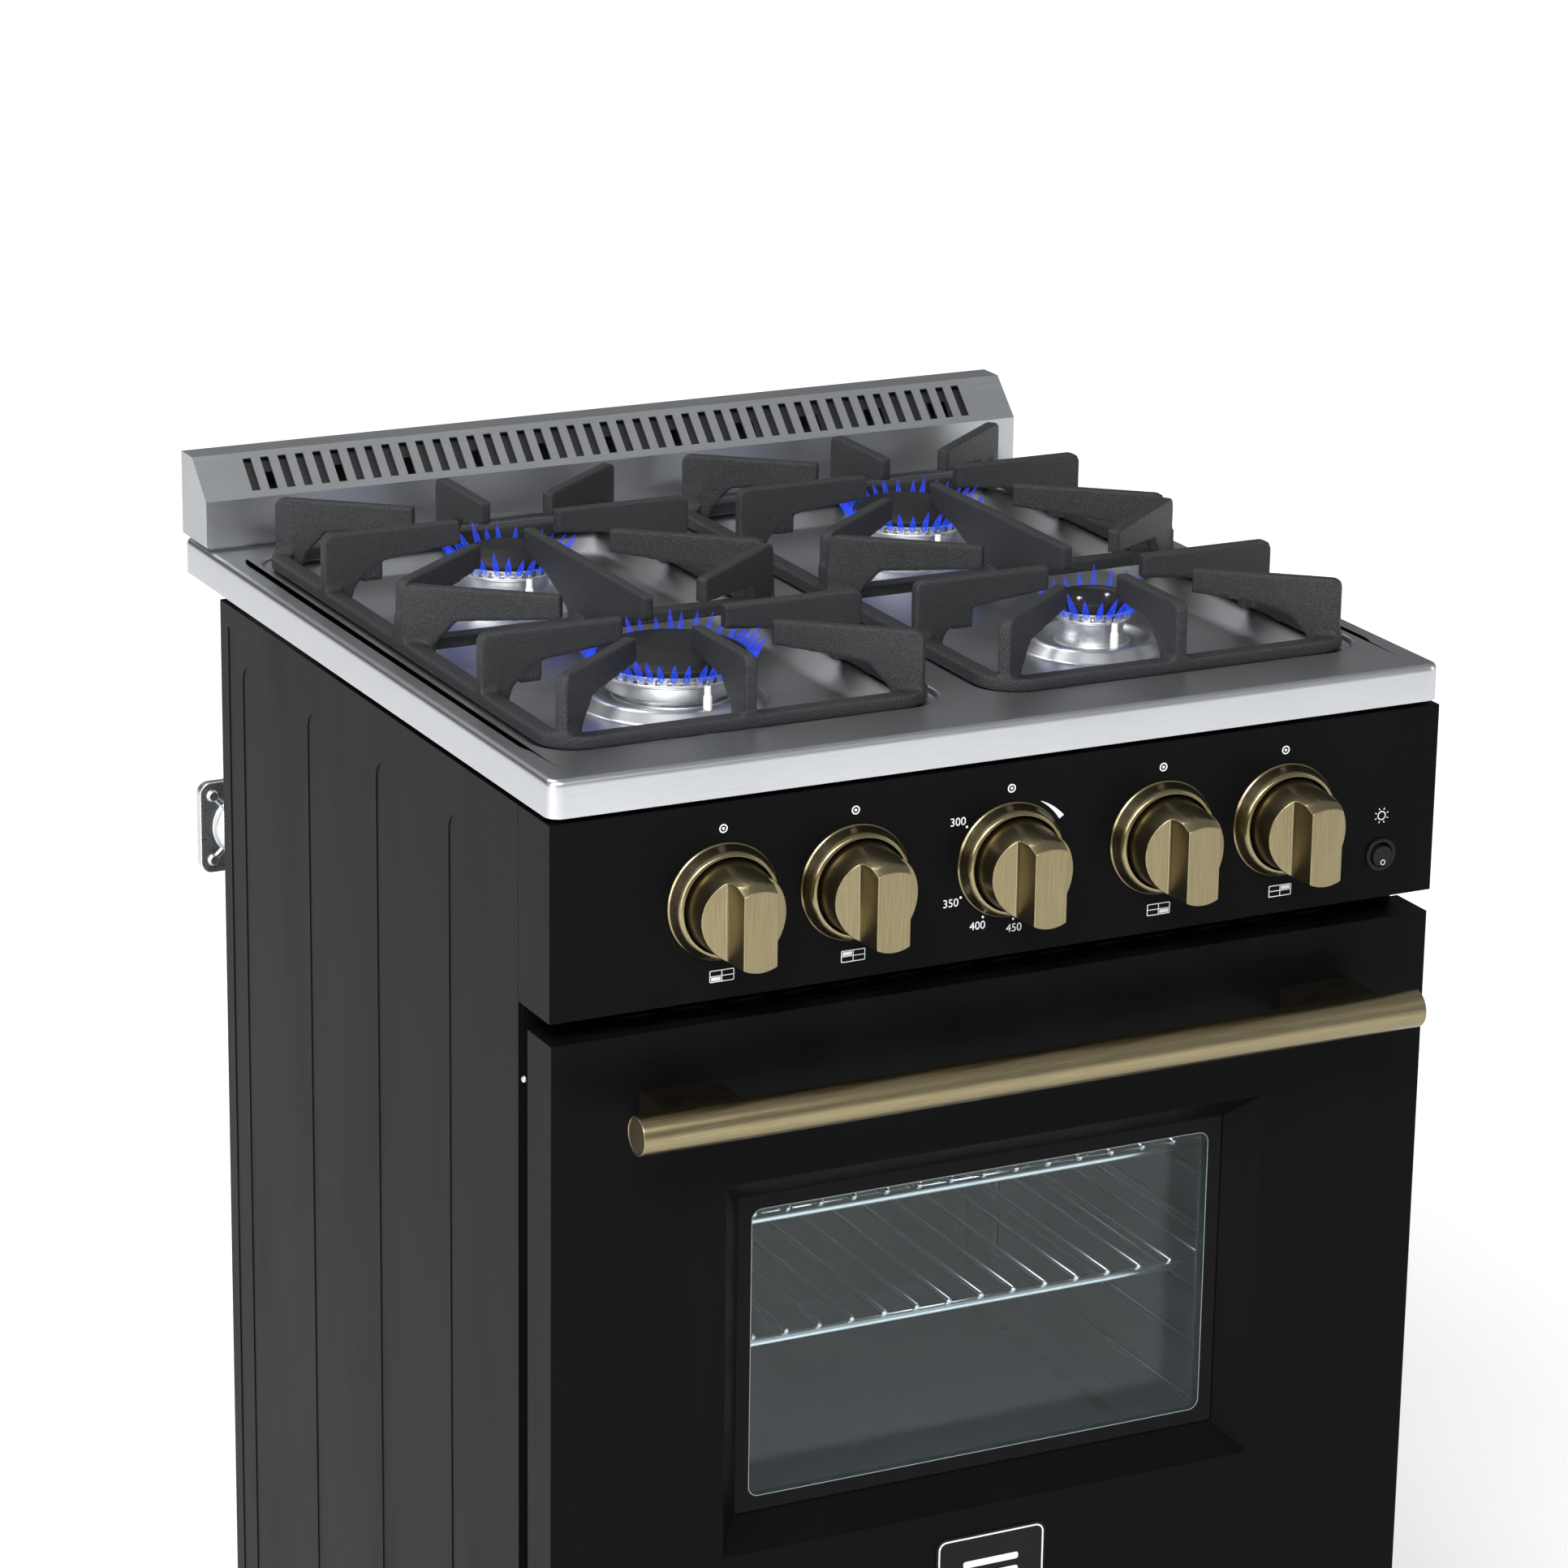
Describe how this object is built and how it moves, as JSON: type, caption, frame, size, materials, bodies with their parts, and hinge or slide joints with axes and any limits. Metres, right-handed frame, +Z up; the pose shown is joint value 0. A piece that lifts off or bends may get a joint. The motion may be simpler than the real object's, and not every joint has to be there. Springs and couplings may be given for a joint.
{
  "type": "freestanding gas range",
  "caption": "Freestanding gas range: open burners under cast-iron grates, slotted backguard, brass knobs and a drop-down oven door with window and bar handle.",
  "frame": {"origin": "centre of the footprint, on the floor", "axes": "+Z up, the front with the door and knobs faces -Y, +X to the right as seen from the front"},
  "size_m": [0.6, 0.6478, 0.9719],
  "materials": {
    "stainless_top": "satin, brushed along the width",
    "plated_steel": "plain plated sheet",
    "black_enamel": "satin black",
    "leg_steel": "satin",
    "oven_enamel": "glossy speckled grey enamel",
    "gasket": "woven fibreglass sleeve",
    "rack_chrome": "bright nickel",
    "mineral_wool": "loose wool",
    "door_glass": "clear",
    "aluminium": "machined",
    "valve_brass": "forged",
    "cap_enamel": "matt black enamel",
    "ceramic": "white, glazed",
    "die_cast": "bright die casting",
    "antique_brass": "brushed antique brass",
    "black_plastic": "gloss black",
    "screw_steel": "bright",
    "badge": "black with a light border",
    "cast_iron": "rough matt black enamel"
  },
  "bodies": {
    "root": {"cooktop": "stainless_top", "backguard": "stainless_top", "backguard_baffle": "plated_steel", "side_panel_left": "black_enamel", "side_panel_right": "black_enamel", "back_panel": "black_enamel", "base_frame": "black_enamel", "kick_panel": "black_enamel", "leveling_legs": "leg_steel", "control_panel": "black_enamel", "front_frame": "black_enamel", "oven_liner": "oven_enamel", "door_gasket": "gasket", "rack_guides": "rack_chrome", "oven_floor": "oven_enamel", "oven_burner": "plated_steel", "broil_burner": "plated_steel", "insulation": "mineral_wool", "flue_duct": "plated_steel", "oven_lamp": "door_glass", "gas_manifold": "aluminium", "valve_bodies": "valve_brass", "oven_thermostat": "valve_brass", "feed_tubes": "aluminium", "burner_bases": "aluminium", "burner_heads": "aluminium", "burner_caps": "cap_enamel", "igniters": "ceramic", "pressure_regulator": "die_cast", "spark_module": "ceramic", "knob_bezels": "antique_brass", "switch_housing": "black_plastic", "body_screws": "screw_steel", "hinge_brackets": "plated_steel", "power_inlet": "black_plastic"},
    "door": {"door_skin": "black_enamel", "door_glass_outer": "door_glass", "door_glass_inner": "door_glass", "door_liner": "oven_enamel", "handle_bar": "antique_brass", "handle_brackets": "antique_brass", "hinge_arms": "plated_steel", "door_badge": "badge", "door_screws": "screw_steel"},
    "grate_left": {"grate_left": "cast_iron"},
    "grate_right": {"grate_right": "cast_iron"},
    "rack_upper": {"rack_upper": "rack_chrome"},
    "rack_lower": {"rack_lower": "rack_chrome"},
    "switch_rocker": {"switch_rocker": "black_plastic"},
    "spindle_1": {"spindle_1": "screw_steel"},
    "knob_1": {"knob_1": "antique_brass"},
    "spindle_2": {"spindle_2": "screw_steel"},
    "knob_2": {"knob_2": "antique_brass"},
    "spindle_3": {"spindle_3": "screw_steel"},
    "knob_3": {"knob_3": "antique_brass"},
    "spindle_4": {"spindle_4": "screw_steel"},
    "knob_4": {"knob_4": "antique_brass"},
    "spindle_5": {"spindle_5": "screw_steel"},
    "knob_5": {"knob_5": "antique_brass"}
  },
  "joints": [
    {"name": "door_hinge", "type": "hinge", "parent": "root", "child": "door", "pos_m": [0, -0.24705, 0.2696], "axis": [1, 0, 0], "range_deg": [0, 88], "stiffness_Nm_per_rad": 9, "springref_deg": -34.38},
    {"name": "knob_1_turn", "type": "hinge", "parent": "root", "child": "spindle_1", "pos_m": [-0.19, -0.26905, 0.8278], "axis": [0, -1, 0], "range_deg": [0, 210]},
    {"name": "knob_1_push", "type": "slide", "parent": "spindle_1", "child": "knob_1", "axis": [0, 1, 0], "range_m": [0, 0.003], "stiffness_N_per_m": 900, "springref_m": -0.002},
    {"name": "knob_2_turn", "type": "hinge", "parent": "root", "child": "spindle_2", "pos_m": [-0.104, -0.26905, 0.8278], "axis": [0, -1, 0], "range_deg": [0, 210]},
    {"name": "knob_2_push", "type": "slide", "parent": "spindle_2", "child": "knob_2", "axis": [0, 1, 0], "range_m": [0, 0.003], "stiffness_N_per_m": 900, "springref_m": -0.002},
    {"name": "knob_3_turn", "type": "hinge", "parent": "root", "child": "spindle_3", "pos_m": [0, -0.26905, 0.8278], "axis": [0, -1, 0], "range_deg": [0, 300]},
    {"name": "knob_3_push", "type": "slide", "parent": "spindle_3", "child": "knob_3", "axis": [0, 1, 0], "range_m": [0, 0.003], "stiffness_N_per_m": 900, "springref_m": -0.002},
    {"name": "knob_4_turn", "type": "hinge", "parent": "root", "child": "spindle_4", "pos_m": [0.104, -0.26905, 0.8278], "axis": [0, -1, 0], "range_deg": [0, 210]},
    {"name": "knob_4_push", "type": "slide", "parent": "spindle_4", "child": "knob_4", "axis": [0, 1, 0], "range_m": [0, 0.003], "stiffness_N_per_m": 900, "springref_m": -0.002},
    {"name": "knob_5_turn", "type": "hinge", "parent": "root", "child": "spindle_5", "pos_m": [0.19, -0.26905, 0.8278], "axis": [0, -1, 0], "range_deg": [0, 210]},
    {"name": "knob_5_push", "type": "slide", "parent": "spindle_5", "child": "knob_5", "axis": [0, 1, 0], "range_m": [0, 0.003], "stiffness_N_per_m": 900, "springref_m": -0.002},
    {"name": "grate_left_lift", "type": "slide", "parent": "root", "child": "grate_left", "axis": [0, 0, 1], "range_m": [0, 0.12]},
    {"name": "grate_right_lift", "type": "slide", "parent": "root", "child": "grate_right", "axis": [0, 0, 1], "range_m": [0, 0.12]},
    {"name": "rack_upper_slide", "type": "slide", "parent": "root", "child": "rack_upper", "axis": [0, -1, 0], "range_m": [0, 0.012]},
    {"name": "rack_lower_slide", "type": "slide", "parent": "root", "child": "rack_lower", "axis": [0, -1, 0], "range_m": [0, 0.012]},
    {"name": "lamp_switch_rock", "type": "hinge", "parent": "root", "child": "switch_rocker", "pos_m": [0.2615, -0.26605, 0.7959], "axis": [-1, 0, 0], "range_deg": [0, 14]}
  ]
}
